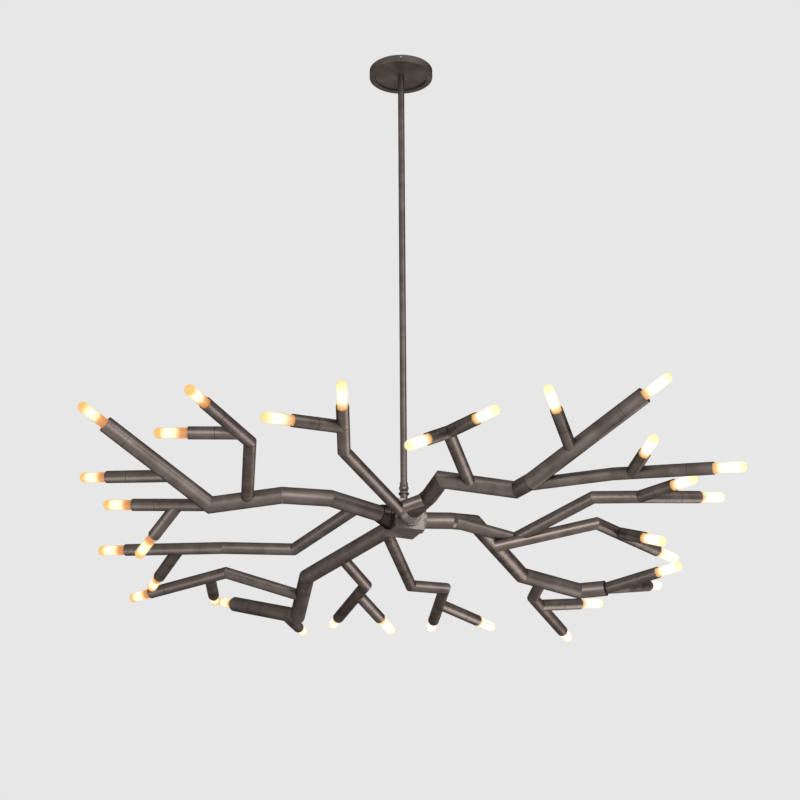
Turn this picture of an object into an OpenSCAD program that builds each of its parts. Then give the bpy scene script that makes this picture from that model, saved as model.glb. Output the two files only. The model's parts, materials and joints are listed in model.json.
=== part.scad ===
// Branch chandelier: nine limbs of mitred and coped tube grow from a square hub that hangs
// on a rod, and thirty-two frosted tubular lamps end them.
// Millimetres. The origin lies in the ceiling plane on the rod's axis, +Z is up, +X is to the
// right in the usual view and +Y points away from the viewer.

/* [Ceiling plate] */
// Distance from the canopy's outside to the ceiling plate's rim
plate_inset = 4; // [3.5:0.1:8]
// Thickness of the ceiling plate
plate_t = 2.5; // [1.5:0.1:3]
// Depth of the plate's turned-down rim
plate_rim_h = 8; // [5:0.5:9]
// Thickness of the plate's rim
plate_rim_t = 1.6; // [1:0.1:3]
// Distance between the two screw slots, centre to centre
slot_spacing = 88.9; // [70:0.1:92]
// Width of a screw slot
slot_w = 5.2; // [4:0.1:6]
// Length of a screw slot, end to end
slot_len = 14; // [10:0.5:16]
// Diameter of the hole that the supply wires come through
wire_hole_d = 18; // [10:0.5:20]
// Distance of the wire hole from the rod's axis
wire_hole_at = 34; // [28:0.5:40]

/* [Canopy] */
// Outer diameter of the canopy
canopy_d = 127; // [124:1:150]
// Height of the canopy
canopy_h = 15; // [14.5:0.5:25]
// Wall thickness of the canopy
canopy_wall = 1.2; // [0.8:0.1:1.8]
// Width of the flat ring round the canopy's recessed face
canopy_ring_w = 11; // [6:0.5:20]
// Depth of the canopy's recessed face
canopy_recess = 2.5; // [1:0.1:3]
// Gap between the canopy's rim and the ceiling
canopy_gap = 0.3; // [0.1:0.1:1]
// Radial clearance of the canopy on the rod
canopy_rod_play = 0.3; // [0.2:0.05:1]
// Diameter of a canopy grub screw
grub_d = 3; // [2:0.5:4]
// Height of the grub screws below the ceiling
grub_z = 5.2; // [4.5:0.1:6]

/* [Rod] */
// Outer diameter of the rod
rod_d = 12.7; // [12:0.1:12.8]
// Bore of the rod
rod_bore = 10.3; // [9.5:0.1:10.8]
// Height of the ball swivel's centre below the ceiling
pivot_drop = 902; // [400:1:1500]
// Diameter of the coupling that carries the rod
coupling_d = 20; // [18:0.5:22]
// Length of the coupling below the plate
coupling_len = 8.4; // [8:0.1:8.6]
// Diameter of the coupling's spigot in the plate
coupling_spigot_d = 15; // [14:0.5:18]
// Diameter of the coupling's set screw
coupling_screw_d = 3; // [2:0.5:4]

/* [Ball swivel] */
// Outer diameter of the ball-shaped housing at the rod's foot
housing_d = 18; // [17.5:0.1:18.4]
// Diameter of the inner ball
ball_d = 12; // [11:0.1:12.2]
// Thickness of the nylon liner round the ball
liner_t = 0.6; // [0.4:0.05:0.7]
// Angle between the ball's axis and the outer edge of each liner half
liner_edge = 52; // [46:1:60]
// Angle between the two liner halves
liner_split = 13; // [11:1:16]
// Diameter of the neck under the ball
neck_d = 7.6; // [7:0.1:8]
// Diameter of the collar under the ball
collar_d = 19.5; // [15:0.5:22]
// Thickness of the collar
collar_t = 3; // [2:0.5:4]
// Diameter of the stud between the collar and the hub
stud_d = 14; // [12:0.5:16]
// Length of the stud between the collar and the hub
stud_len = 19.2; // [10:0.1:60]
// Diameter of the stud's threaded foot
stud_foot_d = 12; // [10:0.5:12]
// Bore of the stud for the cable
stud_bore = 5; // [4.6:0.1:5.4]
// Diameter of the cable in the rod and the stud
cable_d = 4; // [3:0.1:4.2]

/* [Hub] */
// Side of the square hub
hub_w = 57; // [54:0.5:66]
// Height of the hub
hub_h = 57; // [54:0.5:66]
// Wall of the hub
hub_wall = 4; // [3:0.5:5]
// Turn of the hub about the rod, in degrees
hub_turn = 22; // [0:1:45]
// Thickness of the hub's top plate
top_plate_t = 4; // [3:0.5:5]
// Diameter of the top plate's screws
top_screw_d = 3; // [2.5:0.5:3]
// Side of the cable's splice block
splice_w = 24; // [18:0.5:26]

/* [Bosses] */
// Diameter of a boss where it meets the hub
boss_d = 48; // [46:0.5:52]
// Height of a plain boss
boss_h = 8; // [7:0.5:12]
// Height of a tapered boss's rim
boss_rim_h = 5; // [4.5:0.5:6]
// Length of a tapered boss along its tube
boss_taper_len = 24; // [20:1:30]
// Diameter of a tapered boss at its narrow end
boss_tip_d = 34.5; // [34:0.5:38]
// Depth of hub boss metal under the end of a tube
boss_floor = 3; // [2:0.5:4]
// Diameter of a boss's spigot in the hub wall
boss_spigot_d = 23; // [20:0.5:24]
// Diameter of a boss's set screw
set_screw_d = 3.4; // [2.5:0.1:4]

/* [Tubes] */
// Outer diameter of the trunk tubes
trunk_od = 31; // [29:0.5:32]
// Wall of the trunk tubes
trunk_wall = 1.5; // [1:0.1:2]
// Outer diameter of the twig tubes
twig_od = 23; // [22:0.1:24]
// Wall of the twig tubes
twig_wall = 1.2; // [1:0.05:1.5]
// Seam between two joined tubes
seam = 0.2; // [0.1:0.05:0.4]
// Diameter of the wire holes where a twig joins
wire_way_d = 8; // [6:0.5:10]
// Drop of a lapped branch below the tube that carries it
lap_drop = 19; // [16:0.5:21]
// Overrun of a lapped branch past that tube's axis
lap_overrun = 14; // [8:0.5:20]
// Thickness of a tube's closed end
end_wall = 2; // [1.5:0.1:3]

/* [Lamps] */
// Length of the sleeve at each lamp
sleeve_len = 47; // [44:1:52]
// Wall of the sleeve at its mouth
sleeve_lip = 0.7; // [0.5:0.05:0.9]
// Length of the spigot on each side of the sleeve's seam
spigot_half = 12; // [8:0.5:14]
// Diameter of a frosted bulb
bulb_d = 19.4; // [16:0.1:19.6]
// Length of a bulb outside its sleeve
bulb_out = 60; // [40:1:80]
// Length of a bulb inside its sleeve
bulb_in = 12; // [8:0.5:14]
// Thickness of a bulb's glass
glass_t = 1; // [0.6:0.1:1.5]
// Diameter of a bulb's cap
cap_d = 13; // [10:0.5:13.5]
// Length of a bulb's cap
cap_len = 17.6; // [14:0.1:18]
// Diameter of a lampholder
holder_d = 16; // [15:0.5:17]
// Length of a lampholder
holder_len = 27; // [24:0.5:29]
// Depth of a lampholder's socket
socket_depth = 12; // [10:0.5:14]
// Diameter of a bulb's light rod
light_rod_d = 3; // [2:0.5:5]
// Length of a bulb's light rod
light_rod_len = 52; // [30:1:60]
// Diameter of the lead wires
lead_d = 2.4; // [1.6:0.1:3]

/* [Hidden] */
$fn = 64;
eps = 0.01;
fit = 0.1;
seat_gap = 0.1;
body_gap = 0.3;
bead_w = lead_d + 1.6;
bead_inset = 0.5;
joint_w = 4.6;
joint_inset = 2;

// Kinds of joint at the start of a tube, and sizes of tube.
ROOT = "root";
MITRE = "mitre";
FORK = "fork";
TEE = "tee";
LAP = "lap";
TRUNK = "trunk";
TWIG = "twig";
LAMP = true;
PLAIN = false;

// Columns of the cut list.
ID = 0;
KIND = 1;
PARENT = 2;
AT = 3;
HEADING = 4;
RISE = 5;
LENGTH = 6;
SIZE = 7;
HAS_LAMP = 8;
TRIM = 9;

// The cut list. Each row is a tube: its name, how it starts, the hub face or tube that carries
// it, the distance along that tube (tees and laps), its heading from +X and its rise in degrees,
// its length, its size, whether a lamp ends it, and the other tubes that trim its foot.
TUBES = [
    // Limb 1, left
    ["1a", ROOT, "left", 0, -143, 3, 135, TRUNK, PLAIN, []],
    ["1b", MITRE, "1a", 0, -166, -1, 90, TRUNK, PLAIN, []],
    ["1c", MITRE, "1b", 0, 170, -4, 134, TRUNK, PLAIN, []],
    ["1A", MITRE, "1c", 0, -150, 29, 243, TRUNK, LAMP, []],
    ["1s", TEE, "1c", 65, -85, 10, 201, TWIG, PLAIN, []],
    ["1B", MITRE, "1s", 0, -116, 6, 155, TWIG, LAMP, []],
    ["1C", TEE, "1B", 36, 179, 1, 90, TWIG, LAMP, []],
    ["1D", TEE, "1A", 88, 154, 9, 143, TWIG, LAMP, []],
    ["1E", FORK, "1c", 0, 162, 7, 156, TWIG, LAMP, ["1A"]],
    ["1F", TEE, "1E", 65, 129, -26, 87, TWIG, LAMP, []],
    // Limb 2, off limb 1
    ["2a", TEE, "1a", 73, 125, -5, 221, TWIG, PLAIN, []],
    ["2b", MITRE, "2a", 0, 176, 3, 135, TWIG, PLAIN, []],
    ["2G", MITRE, "2b", 0, 160, 6, 210, TWIG, LAMP, []],
    ["2H", TEE, "2G", 95, 112, -6, 135, TWIG, LAMP, []],
    // Limb 3, back left
    ["3a", ROOT, "back", 0, 122, -1, 346, TRUNK, PLAIN, []],
    ["3b", MITRE, "3a", 0, 98, -6, 196, TRUNK, PLAIN, []],
    ["3K", MITRE, "3b", 0, 131, 20, 231, TRUNK, LAMP, []],
    ["3s", TEE, "3b", 95, -154, 9, 169, TWIG, PLAIN, []],
    ["3I", MITRE, "3s", 0, 140, 1, 214, TWIG, LAMP, []],
    ["3J", TEE, "3I", 45, 92, 5, 162, TWIG, LAMP, ["3s"]],
    ["3L", TEE, "3K", 50, 81, 6, 153, TWIG, LAMP, []],
    // Limb 4, off limb 3
    ["4a", TEE, "3a", 212, 70, -7, 135, TWIG, PLAIN, []],
    ["4M", MITRE, "4a", 0, 105, 1, 236, TWIG, LAMP, []],
    ["4N", TEE, "4M", 65, 64, -13, 101, TWIG, LAMP, []],
    // Limb 5, off limb 3
    ["5a", TEE, "3a", 45, 81, -2, 304, TWIG, PLAIN, []],
    ["5b", MITRE, "5a", 0, 7, -3, 68, TWIG, PLAIN, []],
    ["5O", MITRE, "5b", 0, 95, 1, 228, TWIG, LAMP, []],
    ["5P", TEE, "5O", 108, 53, -1, 134, TWIG, LAMP, []],
    // Limb 7, right
    ["7a", ROOT, "right", 0, 3, 0, 60, TRUNK, PLAIN, []],
    ["7b", FORK, "7a", 0, 20, -9, 131, TWIG, PLAIN, ["6a"]],
    ["7c", MITRE, "7b", 0, -48, 7, 206, TWIG, PLAIN, []],
    ["7d", MITRE, "7c", 0, 2, 1, 84, TWIG, PLAIN, []],
    ["7V", MITRE, "7d", 0, 30, 10, 140, TWIG, LAMP, []],
    ["7U", FORK, "7d", 0, -56, -5, 100, TWIG, LAMP, ["7V"]],
    ["7e", LAP, "7b", 105, -6, 11, 181, TWIG, PLAIN, ["7c"]],
    ["7X", MITRE, "7e", 0, 43, -5, 170, TWIG, LAMP, []],
    ["7W", TEE, "7X", 60, -55, -23, 81, TWIG, LAMP, []],
    // Limb 6, off limb 7
    ["6a", MITRE, "7a", 0, 47, 11, 70, TRUNK, PLAIN, []],
    ["6b", MITRE, "6a", 0, 67, -6, 254, TRUNK, PLAIN, []],
    ["6c", MITRE, "6b", 0, 34, -3, 143, TRUNK, PLAIN, []],
    ["6d", MITRE, "6c", 0, 2, 6, 55, TRUNK, PLAIN, []],
    ["6Q", MITRE, "6d", 0, -46, 0, 137, TWIG, LAMP, []],
    ["6R", FORK, "6d", 0, 60, 17, 222, TWIG, LAMP, ["6Q"]],
    ["6s", TEE, "6c", 50, 101, -9, 76, TWIG, PLAIN, []],
    ["6S", MITRE, "6s", 0, 73, 1, 253, TWIG, LAMP, []],
    ["6T", TEE, "6S", 55, 32, 11, 104, TWIG, LAMP, []],
    // Limb 8, front right
    ["8a", ROOT, "front", 0, -69, 0, 100, TRUNK, PLAIN, []],
    ["8b", MITRE, "8a", 0, -74, 3, 75, TRUNK, PLAIN, []],
    ["8c", MITRE, "8b", 0, 22, 0, 145, TRUNK, PLAIN, []],
    ["8d", MITRE, "8c", 0, -62, -2, 55, TRUNK, PLAIN, []],
    ["8Y", MITRE, "8d", 0, -34, 25, 260, TRUNK, LAMP, []],
    ["8s", TEE, "8c", 55, -103, 9, 183, TWIG, PLAIN, []],
    ["8R", MITRE, "8s", 0, -55, -2, 82, TWIG, LAMP, []],
    ["8L", FORK, "8s", 0, -133, -28, 61, TWIG, LAMP, ["8R"]],
    ["8A", TEE, "8Y", 94, -109, 23, 104, TWIG, LAMP, []],
    ["8t", TEE, "8d", 30, -19, 0, 164, TWIG, PLAIN, ["8Y"]],
    ["8B", MITRE, "8t", 0, -24, -6, 186, TWIG, LAMP, []],
    ["8C", TEE, "8B", 35, -77, 7, 74, TWIG, LAMP, []],
    // Limb 9, front left
    ["9a", TEE, "8a", 88, -176, -22, 56, TWIG, PLAIN, []],
    ["9b", MITRE, "9a", 0, -113, 6, 240, TWIG, PLAIN, []],
    ["9D", MITRE, "9b", 0, -90, 22, 110, TWIG, LAMP, []],
    ["9E", TEE, "9D", 60, -148, -5, 100, TWIG, LAMP, []]
];

// Where the tubes hang: hub faces by name, with the turn of each face's normal.
FACES = [["left", 180], ["back", 90], ["right", 0], ["front", -90]];
TAPERED = ["left", "front"];

BRONZE = [0.35, 0.31, 0.29];
STEEL = [0.7, 0.7, 0.72];
BRASS = [0.75, 0.62, 0.35];
NYLON = [0.93, 0.92, 0.88];
GLASS = [1, 0.93, 0.8];
CERAMIC = [0.92, 0.9, 0.86];
COPPER = [0.72, 0.45, 0.3];
BLACK = [0.12, 0.12, 0.12];

// Sizes and heights worked out from the sizes above.
plate_d = canopy_d - 2 * plate_inset;
rod_top = -(plate_t + 1.6);
coupling_foot = -(plate_t + seat_gap + coupling_len);
canopy_top = -canopy_gap;
canopy_face = -(canopy_gap + canopy_h);
disc_face = canopy_face + canopy_recess;
pivot = [0, 0, -pivot_drop];
cavity_r = ball_d / 2 + liner_t + 3 * fit;
rod_foot = cavity_r + 0.2;
collar_top = -(housing_d / 2 + body_gap);
collar_foot = collar_top - collar_t;
hub_top = pivot.z + collar_foot - stud_len;
hub_mid = [0, 0, hub_top - hub_h / 2];
hub_foot = hub_top - hub_h;
stud_foot = hub_top - top_plate_t - 8;
cable_bend = 5;
cable_z = -(plate_t + 4.5);
terminal_x = coupling_d / 2 + 2;
terminal_size = [22, 14, 7.5];
ground_at = coupling_d / 2 + 8;
ground_d = 4;

// Lamp stations along a tube, back from the sleeve's mouth.
holder_back = bulb_in + 6 + holder_len;
socket_floor = holder_back - (holder_len - socket_depth);

function find(id) = TUBES[search([id], TUBES)[0]];
function unit(v) = v / norm(v);
function along(heading, rise) =
    [cos(rise) * cos(heading), cos(rise) * sin(heading), sin(rise)];
function direction(t) = along(t[HEADING], t[RISE]);
function face_turn(name) = FACES[search([name], FACES)[0]][1] + hub_turn;
function face_normal(name) = along(face_turn(name), 0);
function face_point(name) = hub_mid + face_normal(name) * hub_w / 2;
function start(t) =
    t[KIND] == ROOT ? face_point(t[PARENT])
    : t[KIND] == TEE ? start(find(t[PARENT])) + direction(find(t[PARENT])) * t[AT]
    : t[KIND] == LAP ? start(find(t[PARENT])) + direction(find(t[PARENT])) * t[AT] - [0, 0, lap_drop]
    : finish(find(t[PARENT]));
function finish(t) = start(t) + direction(t) * t[LENGTH];
function outer_r(t) = (t[SIZE] == TRUNK ? trunk_od : twig_od) / 2;
function inner_r(t) = outer_r(t) - (t[SIZE] == TRUNK ? trunk_wall : twig_wall);
function mitre_normal(t) = unit(direction(find(t[PARENT])) + direction(t));
function heirs(t) = [for (c = TUBES) if (c[KIND] == MITRE && c[PARENT] == t[ID]) c];
function holds(list, id) = len([for (x = list) if (x == id) x]) > 0;
function openers(t) =
    [for (c = TUBES) if (c[KIND] == TEE || c[KIND] == FORK || c[KIND] == LAP)
        if (c[PARENT] == t[ID] || holds(c[TRIM], t[ID])) c];
function thinner_heirs(t) = [for (c = heirs(t)) if (c[SIZE] != t[SIZE]) c];
function laps(t) = [for (c = TUBES) if (c[KIND] == LAP && c[PARENT] == t[ID]) c];
function lamps(limbs) = [for (t = TUBES) if (t[HAS_LAMP] && holds(limbs, t[ID][0])) t];
function roots() = [for (t = TUBES) if (t[KIND] == ROOT) t];
function root_of(face) = [for (t = roots()) if (t[PARENT] == face) t][0];

// Room that a mitre may need past a tube's end.
spare = trunk_od;
left_limbs = ["1", "2"];
back_limbs = ["3", "4", "5"];
right_limbs = ["6", "7"];
front_limbs = ["8", "9"];
all_limbs = concat(left_limbs, back_limbs, right_limbs, front_limbs);

// Turns the children's Z to the direction d at the point p.
module aim(p, d) {
    translate(p)
        rotate([0, 90 - asin(d.z / norm(d)), atan2(d.y, d.x)])
            children();
}

// Everything past the point p in the direction n, near p.
module beyond(p, n) {
    block = 4 * spare;
    aim(p, n)
        translate([-block / 2, -block / 2, 0])
            cube(block);
}

// What the mitres and the hub boss take off a tube's ends, with a gap at each mitre.
module end_cuts(t, gap) {
    if (t[KIND] == ROOT) {
        n = face_normal(t[PARENT]);
        beyond(start(t) + n * (boss_floor + seat_gap), -n);
    }
    if (t[KIND] == MITRE) {
        n = mitre_normal(t);
        beyond(start(t) + n * gap, -n);
    }
    for (c = heirs(t)) {
        n = mitre_normal(c);
        beyond(finish(t) - n * gap, n);
    }
}

// A tube's outside as a solid bar, with room for a seam, that shapes the foot of another tube.
// It runs a little past each mitre, so that nothing is left standing in a seam.
module bar(t) {
    back = t[KIND] == MITRE || t[KIND] == ROOT ? spare : 0;
    front = len(heirs(t)) > 0 ? spare : 0;
    difference() {
        aim(start(t) - direction(t) * back, direction(t))
            cylinder(h = back + t[LENGTH] + front, r = outer_r(t) + seam);
        end_cuts(t, -seam);
    }
}

// What the carrying tubes take off the foot of a tee, a fork or a lap.
module foot_cuts(t) {
    if (t[KIND] == TEE || t[KIND] == FORK || t[KIND] == LAP)
        bar(find(t[PARENT]));
    for (id = t[TRIM])
        bar(find(id));
}

// Wire holes for the tubes that this one carries, and between a lap's two tubes.
module wire_holes(t) {
    for (c = openers(t))
        aim(start(c), direction(c))
            cylinder(h = 2 * trunk_od, d = wire_way_d, $fn = 32);
    for (c = thinner_heirs(t))
        aim(start(c) - direction(c) * 3 * end_wall, direction(c))
            cylinder(h = 4 * end_wall, d = wire_way_d, $fn = 32);
    for (c = t[KIND] == LAP ? [t] : laps(t))
        translate(start(c))
            cylinder(h = lap_drop, d = wire_way_d, $fn = 32);
}

// The hollow of a tube. A trunk that carries a twig on its end is closed there.
module bore(t, from, to) {
    difference() {
        aim(start(t) + direction(t) * from, direction(t))
            cylinder(h = to - from, r = inner_r(t));
        for (c = thinner_heirs(t))
            beyond(finish(t) - mitre_normal(c) * end_wall, mitre_normal(c));
    }
}

// One tube, up to its sleeve if a lamp ends it.
module tube(t) {
    back = t[KIND] == MITRE || t[KIND] == ROOT ? spare : t[KIND] == LAP ? lap_overrun : 0;
    body_len = t[HAS_LAMP] ? t[LENGTH] - sleeve_len : t[LENGTH] + spare;
    plug = t[KIND] == LAP ? end_wall : -1;
    difference() {
        aim(start(t) - direction(t) * back, direction(t))
            cylinder(h = back + body_len, r = outer_r(t));
        bore(t, plug - back, body_len + 1);
        end_cuts(t, seam / 2);
        foot_cuts(t);
        wire_holes(t);
    }
}

module tubes(ids) {
    color(BRONZE)
        for (id = ids)
            tube(find(id));
}

// Places the children on a lamp tube's axis, with Z = 0 at the sleeve's mouth.
module at_mouth(t) {
    aim(finish(t), direction(t))
        children();
}

// The turned sleeve at the end of a lamp tube.
module sleeve(t) {
    difference() {
        at_mouth(t)
            difference() {
                translate([0, 0, -sleeve_len + seam])
                    cylinder(h = sleeve_len - seam, r = outer_r(t));
                translate([0, 0, -sleeve_len])
                    cylinder(h = sleeve_len + 1, r = inner_r(t));
                translate([0, 0, spigot_half + 1 - sleeve_len])
                    cylinder(h = sleeve_len, r = outer_r(t) - sleeve_lip);
            }
        foot_cuts(t);
        wire_holes(t);
    }
}

module sleeves(limbs) {
    color(BRONZE)
        for (t = lamps(limbs))
            sleeve(t);
}

// A frosted glass tube with a round tip, open at its base.
module bulb(t) {
    r = bulb_d / 2;
    body = bulb_in + bulb_out - r;
    at_mouth(t)
        translate([0, 0, -bulb_in])
            rotate_extrude()
                difference() {
                    bulb_outline(r, body);
                    bulb_outline(r - glass_t, body);
                }
}

// Half the section of a round-tipped rod that stands on Z = 0.
module bulb_outline(r, body) {
    intersection() {
        union() {
            square([r, body]);
            translate([0, body])
                circle(r);
        }
        square([r, body + r]);
    }
}

module bulbs(limbs) {
    color(GLASS)
        for (t = lamps(limbs))
            bulb(t);
}

// A bulb's cap: a flange that closes the glass and a plug in the lampholder.
module bulb_caps() {
    color(BRASS)
        for (t = lamps(all_limbs))
            at_mouth(t)
                translate([0, 0, -bulb_in - seat_gap]) {
                    translate([0, 0, -1.4])
                        cylinder(h = 1.4, d = bulb_d - 2 * fit);
                    translate([0, 0, -cap_len])
                        cylinder(h = cap_len, d = cap_d);
                }
}

module light_rods() {
    color(GLASS)
        for (t = lamps(all_limbs))
            at_mouth(t)
                translate([0, 0, -bulb_in])
                    cylinder(h = light_rod_len, d = light_rod_d, $fn = 24);
}

// A cup that takes the bulb's cap, with a hole in its back for the leads.
module lampholders() {
    color(CERAMIC)
        for (t = lamps(all_limbs))
            at_mouth(t)
                translate([0, 0, -holder_back])
                    difference() {
                        cylinder(h = holder_len, d = holder_d);
                        translate([0, 0, holder_len - socket_depth])
                            cylinder(h = socket_depth + 1, d = cap_d + 2 * fit);
                        translate([0, 0, -1])
                            cylinder(h = 6, d = lead_d + 2 * fit, $fn = 32);
                    }
}

// The ring that joins a sleeve to its tube and holds the lampholder.
module sleeve_spigots() {
    color(STEEL)
        for (t = lamps(all_limbs))
            difference() {
                at_mouth(t)
                    translate([0, 0, -sleeve_len - spigot_half])
                        difference() {
                            cylinder(h = 2 * spigot_half, r = inner_r(t) - fit);
                            translate([0, 0, -1])
                                cylinder(h = 2 * spigot_half + 2, d = holder_d + 2 * fit);
                        }
                foot_cuts(t);
                wire_holes(t);
            }
}

// The leads of the limbs on one hub face, from the splice block to each lampholder.
module leads(face, limbs) {
    n = face_normal(face);
    stub = (hub_w - splice_w) / 2 - seat_gap - bead_inset;
    color(COPPER)
        union() {
            aim(hub_mid + n * (splice_w / 2 + seat_gap), n)
                cylinder(h = stub, d = lead_d, $fn = 8);
            for (t = TUBES)
                if (holds(limbs, t[ID][0]))
                    lead(t);
        }
}

// The lead in one tube. A small block ties it at a bend, and a bigger one joins it to another lead.
module lead(t) {
    joined = t[KIND] == TEE || t[KIND] == FORK;
    from = joined ? joint_inset : bead_inset;
    to = t[HAS_LAMP] ? t[LENGTH] - holder_back + 4 : t[LENGTH] - bead_inset;
    aim(start(t) + direction(t) * from, direction(t))
        cylinder(h = to - from, d = lead_d, $fn = 8);
    aim(start(t), direction(t))
        cube(joined ? joint_w : bead_w, center = true);
    if (t[KIND] == LAP)
        translate(start(t)) {
            translate([0, 0, bead_inset])
                cylinder(h = lap_drop - joint_inset - bead_inset, d = lead_d, $fn = 8);
            translate([0, 0, lap_drop])
                cube(joint_w, center = true);
        }
}

// Cup-shaped plate that screws to the ceiling box.
module mounting_plate() {
    color(STEEL)
        difference() {
            translate([0, 0, -plate_rim_h])
                cylinder(h = plate_rim_h, d = plate_d);
            translate([0, 0, -plate_rim_h - 1])
                cylinder(h = plate_rim_h + 1 - plate_t, d = plate_d - 2 * plate_rim_t);
            translate([0, 0, -plate_t - 1])
                cylinder(h = plate_t + 2, d = coupling_spigot_d + 2 * fit);
            translate([0, -wire_hole_at, -plate_t - 1])
                cylinder(h = plate_t + 2, d = wire_hole_d);
            translate([-ground_at, 0, -plate_t - 1])
                cylinder(h = plate_t + 2, d = ground_d + 2 * fit);
            for (side = [-1, 1])
                translate([side * slot_spacing / 2, 0, -plate_t - 1])
                    slot(plate_t + 2);
        }
}

// A slot with round ends along X.
module slot(h) {
    run = slot_len - slot_w;
    union() {
        for (side = [-1, 1])
            translate([side * run / 2, 0, 0])
                cylinder(h = h, d = slot_w);
        translate([-run / 2, -slot_w / 2, 0])
            cube([run, slot_w, h]);
    }
}

// The turned coupling that is pressed in the plate and carries the rod.
module rod_coupling() {
    color(STEEL)
        difference() {
            union() {
                translate([0, 0, coupling_foot])
                    cylinder(h = coupling_len, d = coupling_d);
                translate([0, 0, -plate_t - 1])
                    cylinder(h = plate_t + 0.8, d = coupling_spigot_d);
            }
            translate([0, 0, coupling_foot - 1])
                cylinder(h = rod_top + seat_gap - coupling_foot + 1, d = rod_d + 2 * fit);
            translate([0, 0, rod_top - 1])
                cylinder(h = 10, d = rod_bore);
            cable_exit();
            coupling_screw_hole(fit);
        }
}

// The side way for the cable through the coupling and the rod.
module cable_exit() {
    translate([0, 0, cable_z])
        rotate([0, 90, 0])
            cylinder(h = coupling_d, d = cable_d + 1.2);
}

module coupling_screw_hole(play) {
    translate([0, 0, cable_z])
        rotate([90, 0, 0])
            translate([0, 0, rod_d / 2 + fit])
                cylinder(h = (coupling_d - rod_d) / 2 - fit, d = coupling_screw_d + 2 * play);
}

module coupling_set_screw() {
    color(STEEL)
        coupling_screw_hole(0);
}

module ground_screw() {
    color(BRASS)
        translate([-ground_at, 0, -plate_t - 3 - seat_gap]) {
            cylinder(h = 3, d = 2 * ground_d, $fn = 6);
            cylinder(h = plate_t + 2.8, d = ground_d);
        }
}

// Terminal block on the plate's underside, where the mains wires and the cable meet.
module supply_terminal() {
    hole_d = cable_d + 0.4;
    color(NYLON)
        difference() {
            translate([terminal_x, -terminal_size.y / 2, -plate_t - terminal_size.z])
                cube(terminal_size);
            translate([terminal_x - 1, 0, cable_z])
                rotate([0, 90, 0])
                    cylinder(h = 9, d = hole_d);
            translate([terminal_x + terminal_size.x - 6, -3.5, cable_z])
                rotate([0, 90, 0])
                    cylinder(h = 9, d = 3);
            translate([terminal_x + terminal_size.x - 6, 3.5, cable_z])
                rotate([0, 90, 0])
                    cylinder(h = 9, d = 3);
        }
}

// The cable from the terminal block, over two easy bends and down the rod to its foot.
module supply_cable() {
    foot = pivot.z + rod_foot;
    color(BLACK)
        union() {
            translate([cable_bend, 0, cable_z])
                rotate([0, 90, 0])
                    cylinder(h = terminal_x + 8 - seat_gap - cable_bend, d = cable_d, $fn = 32);
            aim([0, 0, cable_z - cable_bend], [1, 0, 1])
                cylinder(h = cable_bend * sqrt(2), d = cable_d, $fn = 32);
            translate([cable_bend, 0, cable_z])
                sphere(d = cable_d + 0.4);
            translate([0, 0, cable_z - cable_bend])
                sphere(d = cable_d + 0.4);
            translate([0, 0, foot])
                cylinder(h = cable_z - cable_bend - foot, d = cable_d, $fn = 32);
        }
}

module downrod() {
    foot = pivot.z + rod_foot;
    color(BRONZE)
        difference() {
            translate([0, 0, foot])
                cylinder(h = rod_top - foot, d = rod_d);
            translate([0, 0, foot - 1])
                cylinder(h = rod_top - foot + 2, d = rod_bore);
            cable_exit();
        }
}

// Shallow cup with a flat ring and a recessed round face.
module canopy() {
    inner_d = canopy_d - 2 * canopy_wall;
    disc_d = canopy_d - 2 * canopy_ring_w;
    color(BRONZE)
        difference() {
            translate([0, 0, canopy_face])
                cylinder(h = canopy_h, d = canopy_d, $fn = 128);
            translate([0, 0, disc_face + canopy_wall])
                cylinder(h = canopy_h, d = inner_d, $fn = 128);
            translate([0, 0, canopy_face + canopy_wall])
                difference() {
                    cylinder(h = canopy_recess + eps, d = inner_d, $fn = 128);
                    translate([0, 0, -1])
                        cylinder(h = canopy_recess + 2, d = disc_d + 2 * canopy_wall, $fn = 128);
                }
            translate([0, 0, canopy_face - 1])
                cylinder(h = canopy_recess + 1, d = disc_d, $fn = 128);
            translate([0, 0, canopy_face - 1])
                cylinder(h = canopy_h, d = rod_d + 2 * canopy_rod_play);
            at_grubs()
                translate([0, 0, canopy_d / 2 - canopy_wall - 1])
                    cylinder(h = canopy_wall + 2, d = grub_d + 2 * fit, $fn = 32);
        }
}

// Three places round the canopy, with Z pointing outwards.
module at_grubs() {
    for (turn = [30, 150, 270])
        rotate([0, 0, turn])
            translate([0, 0, -grub_z])
                rotate([0, 90, 0])
                    children();
}

module canopy_grub_screws() {
    seat = plate_d / 2 + body_gap;
    color(STEEL)
        at_grubs()
            translate([0, 0, seat])
                cylinder(h = canopy_d / 2 - seat, d = grub_d, $fn = 32);
}

// Ball-shaped housing on the rod's foot, open below for the neck.
module swivel_housing() {
    r = housing_d / 2;
    color(BRONZE)
        translate(pivot)
            difference() {
                union() {
                    sphere(r = r);
                    cylinder(h = r + 2, d = rod_d + 2.6);
                }
                sphere(r = cavity_r);
                translate([0, 0, rod_foot - seat_gap])
                    cylinder(h = r, d = rod_d + 2 * fit);
                cylinder(h = r, r = rod_bore / 2);
                translate([0, 0, -2 * r])
                    cylinder(h = 2 * r, r1 = 2 * r * tan(50), r2 = 0);
            }
}

// A zone of the liner between two polar angles from the top.
module liner_zone(from, to) {
    inner = ball_d / 2 + fit;
    reach = 2 * ball_d;
    rotate_extrude()
        intersection() {
            difference() {
                circle(inner + liner_t);
                circle(inner);
            }
            polygon([[0, 0], reach * [sin(from), cos(from)],
                reach * [sin((from + to) / 2), cos((from + to) / 2)],
                reach * [sin(to), cos(to)]]);
        }
}

module ball_liner_upper() {
    color(NYLON)
        translate(pivot)
            liner_zone(liner_edge, 90 - liner_split / 2);
}

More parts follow.
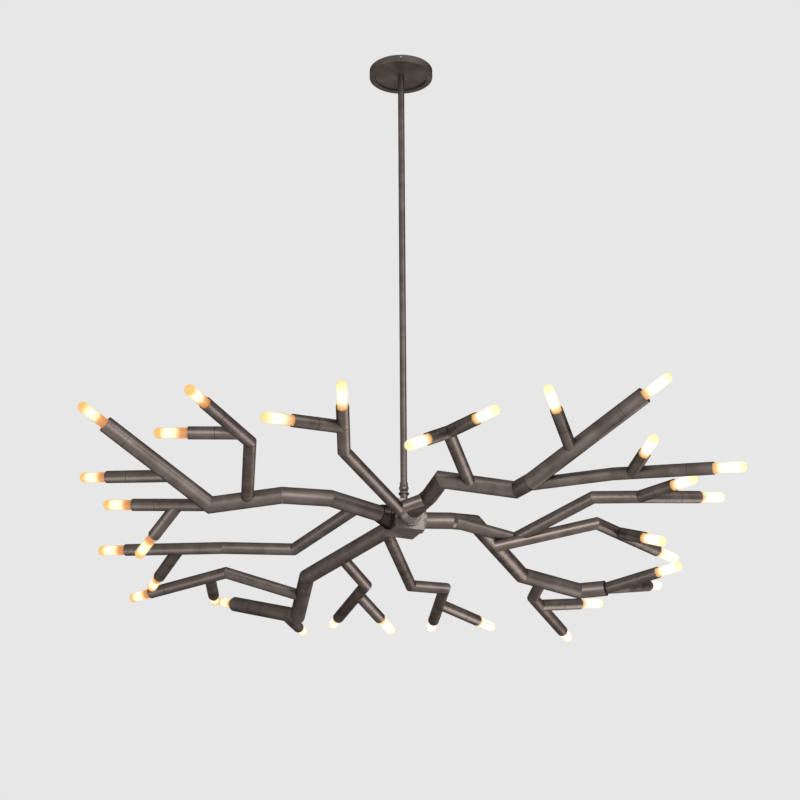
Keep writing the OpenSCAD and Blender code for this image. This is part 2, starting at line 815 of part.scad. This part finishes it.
module ball_liner_lower() {
    color(NYLON)
        translate(pivot)
            liner_zone(90 + liner_split / 2, 180 - liner_edge);
}

// Ball, neck, collar and stud that carry the hub.
module ball_stud() {
    color(STEEL)
        difference() {
            union() {
                translate(pivot)
                    sphere(d = ball_d);
                translate([0, 0, pivot.z + collar_foot])
                    cylinder(h = -collar_foot, d = neck_d);
                translate([0, 0, pivot.z + collar_foot])
                    cylinder(h = collar_t, d = collar_d);
                translate([0, 0, hub_top])
                    cylinder(h = stud_len, d = stud_d);
                translate([0, 0, stud_foot])
                    cylinder(h = hub_top - stud_foot + 1, d = stud_foot_d);
            }
            translate([0, 0, stud_foot - 1])
                cylinder(h = pivot_drop, d = stud_bore);
        }
}

module stud_nut() {
    color(STEEL)
        translate([0, 0, hub_top - top_plate_t - 6 - seat_gap])
            difference() {
                cylinder(h = 6, d = 20, $fn = 6);
                translate([0, 0, -1])
                    cylinder(h = 8, d = stud_foot_d + 2 * fit);
            }
}

// Places the children at the hub's axis, turned with the hub.
module in_hub() {
    rotate([0, 0, hub_turn])
        children();
}

// Four corners of the top plate's screws.
module at_top_screws() {
    inset = hub_w / 2 - hub_wall - 3.5;
    for (x = [-inset, inset])
        for (y = [-inset, inset])
            translate([x, y, hub_top])
                children();
}

// The hub's lid, let in flush with the walls.
module hub_top_plate() {
    side = hub_w - 2 * hub_wall - 2 * fit;
    color(BRONZE)
        difference() {
            in_hub()
                difference() {
                    translate([-side / 2, -side / 2, hub_top - top_plate_t])
                        cube([side, side, top_plate_t]);
                    at_top_screws() {
                        translate([0, 0, -top_plate_t - 1])
                            cylinder(h = top_plate_t + 2, d = top_screw_d + 2 * fit);
                        translate([0, 0, -1.6])
                            cylinder(h = 2, d = top_screw_d + 3);
                    }
                }
            translate([0, 0, hub_top - top_plate_t - 1])
                cylinder(h = top_plate_t + 2, d = stud_foot_d + 2 * fit);
        }
}

module hub_top_screws() {
    color(STEEL)
        in_hub()
            at_top_screws() {
                translate([0, 0, -1.5])
                    cylinder(h = 1.5, d = top_screw_d + 2.6);
                translate([0, 0, -top_plate_t - 6])
                    cylinder(h = top_plate_t + 5, d = top_screw_d);
            }
}

// Square block, hollow, closed below, with a round hole in each side.
module hub_block() {
    inner = hub_w - 2 * hub_wall;
    post = 8;
    color(BRONZE)
        difference() {
            in_hub()
                difference() {
                    translate([-hub_w / 2, -hub_w / 2, hub_foot])
                        cube([hub_w, hub_w, hub_h]);
                    difference() {
                        translate([-inner / 2, -inner / 2, hub_foot + hub_wall])
                            cube([inner, inner, hub_h]);
                        for (x = [-1, 1])
                            for (y = [-1, 1])
                                translate([x * (inner - post) / 2, y * (inner - post) / 2, hub_top - 11])
                                    translate([-post / 2 - eps, -post / 2 - eps, 0])
                                        cube([post + 2 * eps, post + 2 * eps, 11 - top_plate_t - seat_gap]);
                    }
                    at_top_screws()
                        translate([0, 0, -top_plate_t - 7])
                            cylinder(h = top_plate_t + 7, d = top_screw_d + 2 * fit);
                }
            for (f = FACES)
                aim(face_point(f[0]) - face_normal(f[0]) * (hub_wall + 1), face_normal(f[0]))
                    cylinder(h = hub_wall + 2, d = boss_spigot_d + 2 * fit);
        }
}

// The cable from the ball down to the splice block.
module hub_cable() {
    foot = hub_mid.z + splice_w / 2 + seat_gap;
    color(BLACK)
        translate([0, 0, foot])
            cylinder(h = pivot.z + ball_d / 2 - foot - 1, d = cable_d, $fn = 32);
}

// Block on the hub's floor where the cable meets the limbs' leads.
module splice_block() {
    foot = hub_foot + hub_wall;
    color(NYLON)
        in_hub()
            translate([-splice_w / 2, -splice_w / 2, foot])
                cube([splice_w, splice_w, hub_mid.z + splice_w / 2 - foot]);
}

// A boss on the named hub face, with a socket for its root tube.
module boss(face) {
    t = root_of(face);
    n = face_normal(face);
    p = face_point(face);
    d = direction(t);
    tapered = holds(TAPERED, face);
    rim = tapered ? boss_rim_h : boss_h;
    bite = hub_wall + 5;
    color(BRONZE)
        difference() {
            union() {
                aim(p + n * seat_gap, n)
                    cylinder(h = rim - seat_gap, d = boss_d);
                if (tapered)
                    difference() {
                        aim(p, d)
                            cylinder(h = boss_taper_len, d1 = boss_d - 2, d2 = boss_tip_d);
                        beyond(p + n * (rim - 1), -n);
                    }
                aim(p - n * bite, n)
                    cylinder(h = bite + 1, d = boss_spigot_d);
            }
            difference() {
                aim(p - d * boss_d / 2, d)
                    cylinder(h = 4 * boss_taper_len, d = trunk_od + 2 * fit);
                beyond(p + n * boss_floor, -n);
            }
            aim(p - n * (bite + 1), n)
                cylinder(h = bite + boss_h, d = boss_spigot_d - 5);
            set_screw(face, fit);
        }
}

module boss_ring_nuts() {
    color(STEEL)
        for (f = FACES)
            aim(face_point(f[0]) - face_normal(f[0]) * (hub_wall + 3.4), face_normal(f[0]))
                difference() {
                    cylinder(h = 3.3, d = boss_spigot_d + 7);
                    translate([0, 0, -1])
                        cylinder(h = 6, d = boss_spigot_d + 2 * fit);
                }
}

// The set screw under a boss, against its root tube.
module set_screw(face, play) {
    t = root_of(face);
    tapered = holds(TAPERED, face);
    out = tapered ? (boss_rim_h + boss_taper_len) / 2.2 : (boss_h + boss_floor) / 2;
    reach = tapered ? boss_d / 2 - 4.4 : boss_d / 2;
    spot = face_point(face) + direction(t) * out;
    translate(spot - [0, 0, reach])
        cylinder(h = reach - trunk_od / 2 - fit, d = set_screw_d + 2 * play, $fn = 32);
}

module boss_set_screws() {
    color(STEEL)
        for (f = FACES)
            set_screw(f[0], 0);
}

mounting_plate();
rod_coupling();
coupling_set_screw();
ground_screw();
supply_terminal();
supply_cable();
downrod();
canopy();
canopy_grub_screws();
swivel_housing();
ball_liner_upper();
ball_liner_lower();
ball_stud();
stud_nut();
hub_top_plate();
hub_top_screws();
hub_block();
hub_cable();
splice_block();
boss("left");  // boss_left
boss("back");  // boss_back
boss("right");  // boss_right
boss("front");  // boss_front
boss_ring_nuts();
boss_set_screws();
tubes(["1a", "1b", "1c", "1A"]);  // limb_1_trunk
tubes(["1s", "1B", "1C", "1D", "1E", "1F"]);  // limb_1_twigs
tubes(["2a", "2b", "2G", "2H"]);  // limb_2
tubes(["3a", "3b", "3K"]);  // limb_3_trunk
tubes(["3s", "3I", "3J", "3L"]);  // limb_3_twigs
tubes(["4a", "4M", "4N"]);  // limb_4
tubes(["5a", "5b", "5O", "5P"]);  // limb_5
tubes(["6a", "6b", "6c", "6d", "6Q", "6R"]);  // limb_6_main
tubes(["6s", "6S", "6T"]);  // limb_6_twigs
tubes(["7a"]);  // limb_7_root
tubes(["7b", "7c", "7d", "7V", "7U"]);  // limb_7_upper
tubes(["7e", "7X", "7W"]);  // limb_7_lower
tubes(["8a", "8b", "8c", "8d", "8Y"]);  // limb_8_trunk
tubes(["8s", "8R", "8L", "8A"]);  // limb_8_twigs
tubes(["8t", "8B", "8C"]);  // limb_8_side
tubes(["9a", "9b", "9D", "9E"]);  // limb_9
sleeves(left_limbs);  // sleeves_left
sleeves(back_limbs);  // sleeves_back
sleeves(right_limbs);  // sleeves_right
sleeves(front_limbs);  // sleeves_front
bulbs(left_limbs);  // bulbs_left
bulbs(back_limbs);  // bulbs_back
bulbs(right_limbs);  // bulbs_right
bulbs(front_limbs);  // bulbs_front
bulb_caps();
light_rods();
lampholders();
sleeve_spigots();
leads("left", left_limbs);  // leads_left
leads("back", back_limbs);  // leads_back
leads("right", right_limbs);  // leads_right
leads("front", front_limbs);  // leads_front
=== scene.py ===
"""Looks of the branch chandelier: dark bronze tube, frosted lamps and a plain pale room.

Metres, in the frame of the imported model: the ceiling plane is z = 0, +Z is up, +X is to the right
in the photograph and +Y points away from its camera.
"""

import json
import math

import bmesh
import bpy
import numpy as np
from mathutils import Euler, Matrix, Vector


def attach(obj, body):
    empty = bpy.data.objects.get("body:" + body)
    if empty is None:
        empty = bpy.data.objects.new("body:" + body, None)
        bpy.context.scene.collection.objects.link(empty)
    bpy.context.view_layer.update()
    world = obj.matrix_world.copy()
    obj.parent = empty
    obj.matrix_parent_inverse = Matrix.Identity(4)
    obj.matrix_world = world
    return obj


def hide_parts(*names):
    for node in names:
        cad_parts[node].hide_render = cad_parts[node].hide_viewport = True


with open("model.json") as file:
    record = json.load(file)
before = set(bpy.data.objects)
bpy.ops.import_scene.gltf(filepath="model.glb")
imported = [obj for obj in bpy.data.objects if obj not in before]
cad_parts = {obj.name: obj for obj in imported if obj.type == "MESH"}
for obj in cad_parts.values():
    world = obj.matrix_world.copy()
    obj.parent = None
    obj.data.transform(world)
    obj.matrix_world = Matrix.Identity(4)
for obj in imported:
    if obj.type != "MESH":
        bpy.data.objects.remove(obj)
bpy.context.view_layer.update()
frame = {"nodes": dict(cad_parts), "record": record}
nodes = frame["nodes"]

MM = 0.001

# Camera, solved from the canopy, the rod and the hub in the photograph.
CAMERA_PLACE = (0.0, -3.995, -2.406)
CAMERA_LENS_MM = 102.6
CAMERA_CLIP_END = 50
SENSOR_MM = 36.0
CAMERA_UP_DEG = 22.85
CAMERA_YAW_DEG = -0.088
CAMERA_ROLL_DEG = -0.36

# Room
FLOOR_Z = -3.4
FLOOR_SIZE = 60.0
FLOOR_COLOUR = (0.80, 0.80, 0.80, 1)
FLOOR_ROUGHNESS = 0.9
BACKGROUND_COLOUR = (0.80, 0.80, 0.80, 1)
MATT_LIGHT = 0.70

# Area lights, all aimed at one point: name, place, width and height, watts.
LIGHTS_AIM = (0.0, 0.1, -0.95)
LIGHTS = [
    ("key", (0.4, -4.7, -1.6), (2.0, 1.5), 215),
    ("side", (2.4, -2.4, 0.4), (1.1, 1.1), 34),
    ("low_right", (1.9, 1.3, -2.2), (2.0, 1.2), 50),
    ("low_left", (-2.2, -0.3, -2.1), (1.6, 1.2), 22),
    ("back", (0.5, 3.0, 0.2), (1.8, 1.0), 8),
]

# Lamps, as in the model: how far the glass stands out of its sleeve and how far it goes in.
BULB_R = 9.7 * MM
BULB_OUT = 60 * MM
BULB_IN = 12 * MM
SLEEVE_LEN = 47 * MM

# The frosted glass is drawn as a bright core in a thin amber skin.
CORE_R = 8.3 * MM
CORE_FOOT_GAP = 1 * MM
CORE_TIP_GAP = 1.4 * MM
CORE_STRENGTH = 4.0
SKIN_STRENGTH = 1.0
SKIN_ALPHA = 0.62
ROD_STRENGTH = 1.0
FOOT_CHAMFER_IN = 0.6 * MM
FOOT_CHAMFER_UP = 0.8 * MM
BARREL_RINGS = 8
TIP_RINGS = 10
SKIN_SIDES = 40
CORE_SIDES = 32

# Lamps grow deeper in colour from this x towards the left.
WARM_FROM = 0.0
WARM_SPAN = 0.35

# The dark line behind each sleeve, painted shade of the groove where sleeve and tube meet: its width,
# the share of it that stands proud, and how far it reaches under and over the tube's surface.
SEAM_LINE = 0.9 * MM
SEAM_CREST = 0.7
SEAM_UNDER = 0.3 * MM
SEAM_PROUD = 0.06 * MM
SEAM_BEHIND = 0.1 * MM
SEAM_SIDES = 48

# Two vertices closer than this are one place.
SAME_PLACE = 0.002 * MM
WELD = 0.001 * MM

# The part of a noise's range over which a finish goes from dark to light.
CLOUD_LOW = 0.3
CLOUD_HIGH = 0.7

# Sockets of the mix node when it mixes colours. Their names repeat, so they go by number.
MIX_A, MIX_B, MIX_RESULT = 6, 7, 2

SLEEVE_NODES = [name for name in nodes if name.startswith("sleeves_")]
BULB_NODES = [name for name in nodes if name.startswith("bulbs_")]


# ---------------------------------------------------------------- reading the frame

def vertices_of(obj):
    """The object's vertices as an array of points."""
    points = np.zeros(len(obj.data.vertices) * 3, np.float32)
    obj.data.vertices.foreach_get("co", points)
    return points.reshape(-1, 3).astype(float)


def solids_of(obj):
    """Lists of vertex numbers, one for each separate solid in the object's mesh.
    Vertices at one place count as joined, because the frame's meshes are split at sharp edges."""
    points = vertices_of(obj)
    places = {}
    same = np.zeros(len(points), int)
    for i, key in enumerate(map(tuple, np.round(points / SAME_PLACE).astype(np.int64))):
        same[i] = places.setdefault(key, i)
    parent = list(range(len(points)))

    def top(i):
        while parent[i] != i:
            parent[i] = parent[parent[i]]
            i = parent[i]
        return i

    for edge in obj.data.edges:
        a, b = (top(same[v]) for v in edge.vertices)
        if a != b:
            parent[a] = b
    groups = {}
    for i in range(len(points)):
        groups.setdefault(top(same[i]), []).append(i)
    return [np.array(group) for group in groups.values()]


def long_axis(points):
    """(centre, unit direction of the longest side, points along it) of one solid."""
    centre = points.mean(axis=0)
    direction = np.linalg.svd(points - centre, full_matrices=False)[2][0]
    return centre, direction, (points - centre) @ direction


# ---------------------------------------------------------------- materials

class Nodes:
    """A short way to write a material's nodes and links."""

    def __init__(self, name):
        self.material = bpy.data.materials.new(name)
        self.material.use_nodes = True
        self.tree = self.material.node_tree
        self.shader = self.tree.nodes["Principled BSDF"]

    def add(self, kind, **settings):
        node = self.tree.nodes.new(kind)
        for key, value in settings.items():
            setattr(node, key, value)
        return node

    def link(self, source, target):
        self.tree.links.new(source, target)

    def set(self, **values):
        """Sets the shader's sockets: Base_Color=... for its Base Color."""
        for key, value in values.items():
            self.shader.inputs[key.replace("_", " ")].default_value = value

    def noise(self, size, detail=3.0):
        """A noise whose features are about size metres across, from 0 to 1."""
        coordinates = self.add("ShaderNodeTexCoord")
        node = self.add("ShaderNodeTexNoise")
        node.inputs["Scale"].default_value = 1 / size
        node.inputs["Detail"].default_value = detail
        node.inputs["Roughness"].default_value = 0.55
        self.link(coordinates.outputs["Object"], node.inputs["Vector"])
        return node.outputs["Fac"]

    def spread(self, value, low, high, to_low, to_high):
        """value between low and high, mapped to the range to_low to to_high."""
        node = self.add("ShaderNodeMapRange")
        node.inputs["From Min"].default_value = low
        node.inputs["From Max"].default_value = high
        node.inputs["To Min"].default_value = to_low
        node.inputs["To Max"].default_value = to_high
        self.link(value, node.inputs["Value"])
        return node.outputs["Result"]

    def ramp(self, value, stops):
        """Colours along value: stops is [(position, colour), ...]."""
        node = self.add("ShaderNodeValToRGB")
        elements = node.color_ramp.elements
        while len(elements) < len(stops):
            elements.new(0.5)
        for element, (position, colour) in zip(elements, stops):
            element.position = position
            element.color = (*colour, 1)
        self.link(value, node.inputs["Fac"])
        return node.outputs["Color"]

    def clouded(self, clouds, dark, light, gloss):
        """A colour from dark to light and a roughness over the range gloss, both by the clouds."""
        colour = self.ramp(clouds, [(CLOUD_LOW, dark), (CLOUD_HIGH, light)])
        self.link(colour, self.shader.inputs["Base Color"])
        roughness = self.spread(clouds, CLOUD_LOW, CLOUD_HIGH, *gloss)
        self.link(roughness, self.shader.inputs["Roughness"])

    def bump(self, height, depth):
        """Height from 0 to 1, raised by depth metres, on the shader's normal."""
        node = self.add("ShaderNodeBump")
        node.inputs["Strength"].default_value = 1.0
        node.inputs["Distance"].default_value = depth
        self.link(height, node.inputs["Height"])
        self.link(node.outputs["Normal"], self.shader.inputs["Normal"])


def bronze(name, dark, light, gloss, edge=0.25):
    """Patinated satin bronze: cloudy in colour and gloss, with a darker glancing edge."""
    made = Nodes(name)
    made.clouded(made.noise(0.035, detail=2.5), dark, light, gloss)
    made.set(Metallic=1.0, Specular_Tint=(edge, edge, edge, 1))
    return made.material


def plain_metal(name, dark, light, roughness):
    """A plated or bare metal with a fine grain."""
    made = Nodes(name)
    gloss = (roughness - 0.06, roughness + 0.08)
    made.clouded(made.noise(0.006, detail=4), dark, light, gloss)
    made.set(Metallic=1.0)
    made.bump(made.noise(0.0006), 0.008 * MM)
    return made.material


def moulded(name, dark, light, roughness, grain_size=0.0009):
    """A plastic or ceramic with a fine moulded grain."""
    made = Nodes(name)
    gloss = (roughness - 0.05, roughness + 0.05)
    made.clouded(made.noise(0.008, detail=4), dark, light, gloss)
    made.bump(made.noise(grain_size), 0.015 * MM)
    return made.material


def glowing(name, pale, deep, strength, alpha=1.0, cloud=0.05):
    """Light that changes colour along a lamp. The stops run from the mouth to the tip: pale ones
    for the lamps on the right, deep ones for those on the left."""
    made = Nodes(name)
    along = made.add("ShaderNodeAttribute", attribute_name="along")
    warm = made.add("ShaderNodeAttribute", attribute_name="warm")
    clouds = made.noise(0.006, detail=2)
    shifted = made.add("ShaderNodeMath", operation="ADD")
    made.link(along.outputs["Fac"], shifted.inputs[0])
    made.link(made.spread(clouds, 0.0, 1.0, -cloud, cloud), shifted.inputs[1])
    mix = made.add("ShaderNodeMix", data_type="RGBA")
    made.link(warm.outputs["Fac"], mix.inputs["Factor"])
    made.link(made.ramp(shifted.outputs["Value"], pale), mix.inputs[MIX_A])
    made.link(made.ramp(shifted.outputs["Value"], deep), mix.inputs[MIX_B])
    made.link(mix.outputs[MIX_RESULT], made.shader.inputs["Emission Color"])
    made.set(Emission_Strength=strength, Base_Color=(0.10, 0.07, 0.04, 1), Roughness=0.5, Alpha=alpha)
    made.material.cycles.emission_sampling = "NONE"
    return made.material


BRONZE = bronze("dark_bronze", (0.091, 0.073, 0.064), (0.138, 0.114, 0.102), (0.41, 0.49))
HUB_BRONZE = bronze("hub_bronze", (0.158, 0.135, 0.118), (0.217, 0.187, 0.164), (0.42, 0.50))
# A darker copy of the bronze: painted shade for the bosses that sit in shadow on the left and back.
BOSS_PAINTED_SHADE = bronze("boss_bronze_painted_shade", (0.027, 0.022, 0.019), (0.051, 0.042, 0.037), (0.36, 0.44))
# Dark bronze for the joint lines behind the sleeves: the joints are real, and their darkness is
# painted shade of the groove.
SEAM_SHADE = bronze("seam_shadow", (0.030, 0.025, 0.022), (0.050, 0.042, 0.038), (0.55, 0.65))
STEEL = plain_metal("plated_steel", (0.42, 0.42, 0.44), (0.58, 0.58, 0.60), 0.30)
BRASS = plain_metal("brass", (0.55, 0.40, 0.16), (0.70, 0.52, 0.22), 0.28)
NYLON = moulded("white_nylon", (0.70, 0.69, 0.65), (0.80, 0.79, 0.75), 0.5)
CERAMIC = moulded("ceramic", (0.72, 0.70, 0.65), (0.80, 0.78, 0.73), 0.3, 0.0015)
CABLE = moulded("black_cable", (0.010, 0.010, 0.010), (0.022, 0.021, 0.020), 0.5)
LEAD = moulded("lead_sleeve", (0.30, 0.13, 0.06), (0.42, 0.20, 0.10), 0.45)

# Finish of each material slot.
FINISHES = {
    "bronze": BRONZE,
    "plated_steel": STEEL,
    "brass": BRASS,
    "nylon": NYLON,
    "ceramic": CERAMIC,
    "black_cable": CABLE,
    "copper_lead": LEAD,
}

# Nodes whose bronze differs from their slot's. The left and back bosses take a darker copy of the
# bronze, which is painted shade.
OWN_FINISH = {
    "hub_block": HUB_BRONZE,
    "boss_front": HUB_BRONZE,
    "boss_right": HUB_BRONZE,
    "boss_left": BOSS_PAINTED_SHADE,
    "boss_back": BOSS_PAINTED_SHADE,
}


# ---------------------------------------------------------------- lamps

CORE_PALE = [
    (0.00, (0.19, 0.085, 0.020)),
    (0.10, (0.34, 0.20, 0.075)),
    (0.24, (0.66, 0.58, 0.44)),
    (0.64, (0.76, 0.72, 0.60)),
    (0.86, (0.52, 0.47, 0.28)),
    (1.00, (0.34, 0.29, 0.12)),
]
CORE_DEEP = [
    (0.00, (0.13, 0.040, 0.006)),
    (0.22, (0.21, 0.075, 0.012)),
    (0.38, (0.66, 0.54, 0.34)),
    (0.62, (0.72, 0.64, 0.46)),
    (0.82, (0.30, 0.16, 0.035)),
    (1.00, (0.22, 0.12, 0.025)),
]
SKIN_PALE = [
    (0.00, (0.48, 0.20, 0.045)),
    (0.22, (0.82, 0.62, 0.34)),
    (0.70, (0.86, 0.74, 0.46)),
    (1.00, (0.76, 0.63, 0.28)),
]
SKIN_DEEP = [
    (0.00, (0.42, 0.13, 0.015)),
    (0.30, (0.62, 0.26, 0.05)),
    (0.55, (0.82, 0.56, 0.26)),
    (0.85, (0.72, 0.34, 0.06)),
    (1.00, (0.70, 0.42, 0.09)),
]
ROD_STOPS = [(0.0, (1.0, 0.8, 0.5)), (1.0, (1.0, 0.9, 0.7))]

# The points of every sleeve.
SLEEVES = [
    vertices_of(nodes[name])[group]
    for name in SLEEVE_NODES
    for group in solids_of(nodes[name])
]


def lamp_places(node):
    """(mouth, direction) of each lamp, from the solids of its glass."""
    points = vertices_of(nodes[node])
    found = []
    for group in solids_of(nodes[node]):
        centre, direction, along = long_axis(points[group])
        radius = np.linalg.norm(points[group] - centre - np.outer(along, direction), axis=1)
        if radius[along > along.max() - MM].max() > radius[along < along.min() + MM].max():
            direction, along = -direction, -along
        foot = centre + direction * along.min()
        found.append((Vector(foot + direction * BULB_IN), Vector(direction)))
    return found


def bulb_profile(radius, foot, tip):
    """(radius, height) points of a round-ended glass from foot to tip, measured from the mouth."""
    shoulder = tip - radius
    barrel = shoulder - foot
    points = [(radius - FOOT_CHAMFER_IN, foot), (radius, foot + FOOT_CHAMFER_UP)]
    points += [(radius, foot + barrel * i / BARREL_RINGS) for i in range(1, BARREL_RINGS + 1)]
    for i in range(1, TIP_RINGS):
        angle = math.radians(90 * i / TIP_RINGS)
        points.append((radius * math.cos(angle), shoulder + radius * math.sin(angle)))
    points.append((0.0, tip))
    return points


def standing_at(mouth, direction):
    """The matrix that puts the origin at the mouth and +Z along the direction."""
    turn = direction.to_track_quat("Z", "Y").to_matrix().to_4x4()
    return Matrix.Translation(mouth) @ turn


def lathe_into(mesh, profile, place, sides, along_layer=None, warm_layer=None):
    """Turns the profile about Z at the given place. Where layers are given, it stores in them each
    vertex's height from the mouth and how far to the left its lamp is."""
    warm = min(1.0, max(0.0, (WARM_FROM - place.translation.x) / WARM_SPAN))
    rings = []
    for radius, height in profile:
        count = sides if radius > 0 else 1
        ring = []
        for i in range(count):
            angle = 2 * math.pi * i / sides
            point = Vector((radius * math.cos(angle), radius * math.sin(angle), height))
            vertex = mesh.verts.new(place @ point)
            if along_layer is not None:
                vertex[along_layer] = max(0.0, height / BULB_OUT)
                vertex[warm_layer] = warm
            ring.append(vertex)
        rings.append(ring)
    for low, high in zip(rings, rings[1:]):
        for i in range(sides):
            a, b = low[i % len(low)], low[(i + 1) % len(low)]
            c, d = high[(i + 1) % len(high)], high[i % len(high)]
            corners = [a, b] + ([c] if c is d else [c, d])
            mesh.faces.new(corners)


def object_from(name, mesh, material):
    """The finished mesh as an object that rides the chandelier."""
    data = bpy.data.meshes.new(name)
    mesh.to_mesh(data)
    mesh.free()
    data.materials.append(material)
    obj = bpy.data.objects.new(name, data)
    bpy.context.scene.collection.objects.link(obj)
    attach(obj, "chandelier")
    return obj


def lamps(name, node, profile, material, sides):
    """One mesh of the same turned shape at every lamp of a node."""
    mesh = bmesh.new()
    along_layer = mesh.verts.layers.float.new("along")
    warm_layer = mesh.verts.layers.float.new("warm")
    for mouth, direction in lamp_places(node):
        lathe_into(mesh, profile, standing_at(mouth, direction), sides, along_layer, warm_layer)
    obj = object_from(name, mesh, material)
    for face in obj.data.polygons:
        face.use_smooth = True
    return obj


def dress_lamps():
    """The amber skins take the place of the model's bulbs, and the cores glow inside them."""
    core = glowing("bulb_core", CORE_PALE, CORE_DEEP, CORE_STRENGTH)
    skin = glowing("frosted_skin", SKIN_PALE, SKIN_DEEP, SKIN_STRENGTH, SKIN_ALPHA)
    inner = bulb_profile(CORE_R, CORE_FOOT_GAP - BULB_IN, BULB_OUT - CORE_TIP_GAP)
    outer = bulb_profile(BULB_R, -BULB_IN, BULB_OUT)
    for node in BULB_NODES:
        side = node.split("_")[1]
        glass = lamps(f"glass_{side}", node, outer, skin, SKIN_SIDES)
        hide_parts(node)
        glow = lamps(f"glow_{side}", node, inner, core, CORE_SIDES)


def sleeve_radius(mouth, direction):
    """Outer radius, at its mouth, of the sleeve whose mouth is at the given place."""
    middle = np.array(mouth - direction * SLEEVE_LEN / 2)
    sleeve = min(SLEEVES, key=lambda points: np.linalg.norm(points.mean(axis=0) - middle))
    offset = sleeve - np.array(mouth)
    height = offset @ np.array(direction)
    radius = np.linalg.norm(offset - np.outer(height, np.array(direction)), axis=1)
    return radius[abs(height) < 1.5 * MM].max()


def draw_seam_shade():
    """The joint line behind each sleeve as a dark ring a hair proud of the tube: painted shade of the
    joint's groove.
    """
    for node in BULB_NODES:
        side = node.split("_")[1]
        mesh = bmesh.new()
        for mouth, direction in lamp_places(node):
            radius = sleeve_radius(mouth, direction)
            foot = -SLEEVE_LEN - SEAM_BEHIND
            inside = radius - SEAM_UNDER
            outside = radius + SEAM_PROUD
            half = SEAM_LINE / 2
            profile = [
                (inside, foot - half),
                (outside, foot - half * SEAM_CREST),
                (outside, foot + half * SEAM_CREST),
                (inside, foot + half),
                (inside, foot - half),
            ]
            lathe_into(mesh, profile, standing_at(mouth, direction), SEAM_SIDES)
        bmesh.ops.remove_doubles(mesh, verts=mesh.verts, dist=WELD)
        obj = object_from(f"seam_shade_lines_{side}", mesh, SEAM_SHADE)


# ---------------------------------------------------------------- carried-over parts

def dress_frame():
    """Every node of the model gets its own finish or that of its material slot."""
    for part in frame["record"]["subparts"]:
        finish = OWN_FINISH.get(part["node"]) or FINISHES.get(part["material_slot"])
        if finish is None:
            continue
        obj = nodes[part["node"]]
        obj.data.materials.clear()
        obj.data.materials.append(finish)


def dress_light_rods():
    """The rods inside the bulbs glow a little."""
    made = Nodes("light_rod")
    made.set(Base_Color=(0.9, 0.8, 0.6, 1), Emission_Strength=ROD_STRENGTH)
    made.link(made.ramp(made.noise(0.004), ROD_STOPS), made.shader.inputs["Emission Color"])
    nodes["light_rods"].data.materials.clear()
    nodes["light_rods"].data.materials.append(made.material)


# ---------------------------------------------------------------- room, lights and camera

def make_room():
    """A large pale floor far below the chandelier."""
    data = bpy.data.meshes.new("floor")
    half = FLOOR_SIZE / 2
    corners = [(x * half, y * half, FLOOR_Z) for x, y in ((-1, -1), (1, -1), (1, 1), (-1, 1))]
    data.from_pydata(corners, [], [(0, 1, 2, 3)])
    floor = bpy.data.objects.new("floor", data)
    bpy.context.scene.collection.objects.link(floor)
    made = Nodes("floor")
    made.set(Base_Color=FLOOR_COLOUR, Roughness=FLOOR_ROUGHNESS)
    data.materials.append(made.material)


def make_world():
    """Soft light for matt surfaces, and a plain pale background where the world itself is seen,
    also in metal and through glass."""
    world = bpy.data.worlds.new("world")
    bpy.context.scene.world = world
    world.use_nodes = True
    tree = world.node_tree
    tree.nodes.clear()

    def background(colour, strength):
        node = tree.nodes.new("ShaderNodeBackground")
        node.inputs["Color"].default_value = colour
        node.inputs["Strength"].default_value = strength
        return node.outputs["Background"]

    def greater(first, second):
        node = tree.nodes.new("ShaderNodeMath")
        node.operation = "MAXIMUM"
        tree.links.new(first, node.inputs[0])
        tree.links.new(second, node.inputs[1])
        return node.outputs["Value"]

    path = tree.nodes.new("ShaderNodeLightPath").outputs
    through = greater(path["Is Camera Ray"], path["Is Transmission Ray"])
    seen = greater(through, path["Is Glossy Ray"])
    mix = tree.nodes.new("ShaderNodeMixShader")
    output = tree.nodes.new("ShaderNodeOutputWorld")
    tree.links.new(seen, mix.inputs["Fac"])
    tree.links.new(background((1, 1, 1, 1), MATT_LIGHT), mix.inputs[1])
    tree.links.new(background(BACKGROUND_COLOUR, 1.0), mix.inputs[2])
    tree.links.new(mix.outputs["Shader"], output.inputs["Surface"])


def make_lights():
    """The area lights of the list."""
    for name, place, size, power in LIGHTS:
        data = bpy.data.lights.new(name, "AREA")
        data.shape = "RECTANGLE"
        data.size, data.size_y = size
        data.energy = power
        lamp = bpy.data.objects.new(name, data)
        lamp.location = place
        aim = Vector(LIGHTS_AIM) - Vector(place)
        lamp.rotation_euler = aim.to_track_quat("-Z", "Y").to_euler()
        bpy.context.scene.collection.objects.link(lamp)


def make_camera():
    """The photograph's camera."""
    data = bpy.data.cameras.new("camera")
    data.lens = CAMERA_LENS_MM
    data.sensor_width = SENSOR_MM
    data.sensor_fit = "HORIZONTAL"
    data.clip_end = CAMERA_CLIP_END
    camera = bpy.data.objects.new("camera", data)
    camera.location = CAMERA_PLACE
    up, yaw = math.radians(90 + CAMERA_UP_DEG), math.radians(-CAMERA_YAW_DEG)
    look = Euler((up, 0, yaw), "XYZ").to_matrix()
    roll = Matrix.Rotation(math.radians(CAMERA_ROLL_DEG), 3, "Z")
    camera.rotation_euler = (look @ roll).to_euler()
    bpy.context.scene.collection.objects.link(camera)
    bpy.context.scene.camera = camera


bpy.context.scene.view_settings.view_transform = "Standard"
dress_frame()
dress_light_rods()
dress_lamps()
draw_seam_shade()
make_room()
make_world()
make_lights()
make_camera()
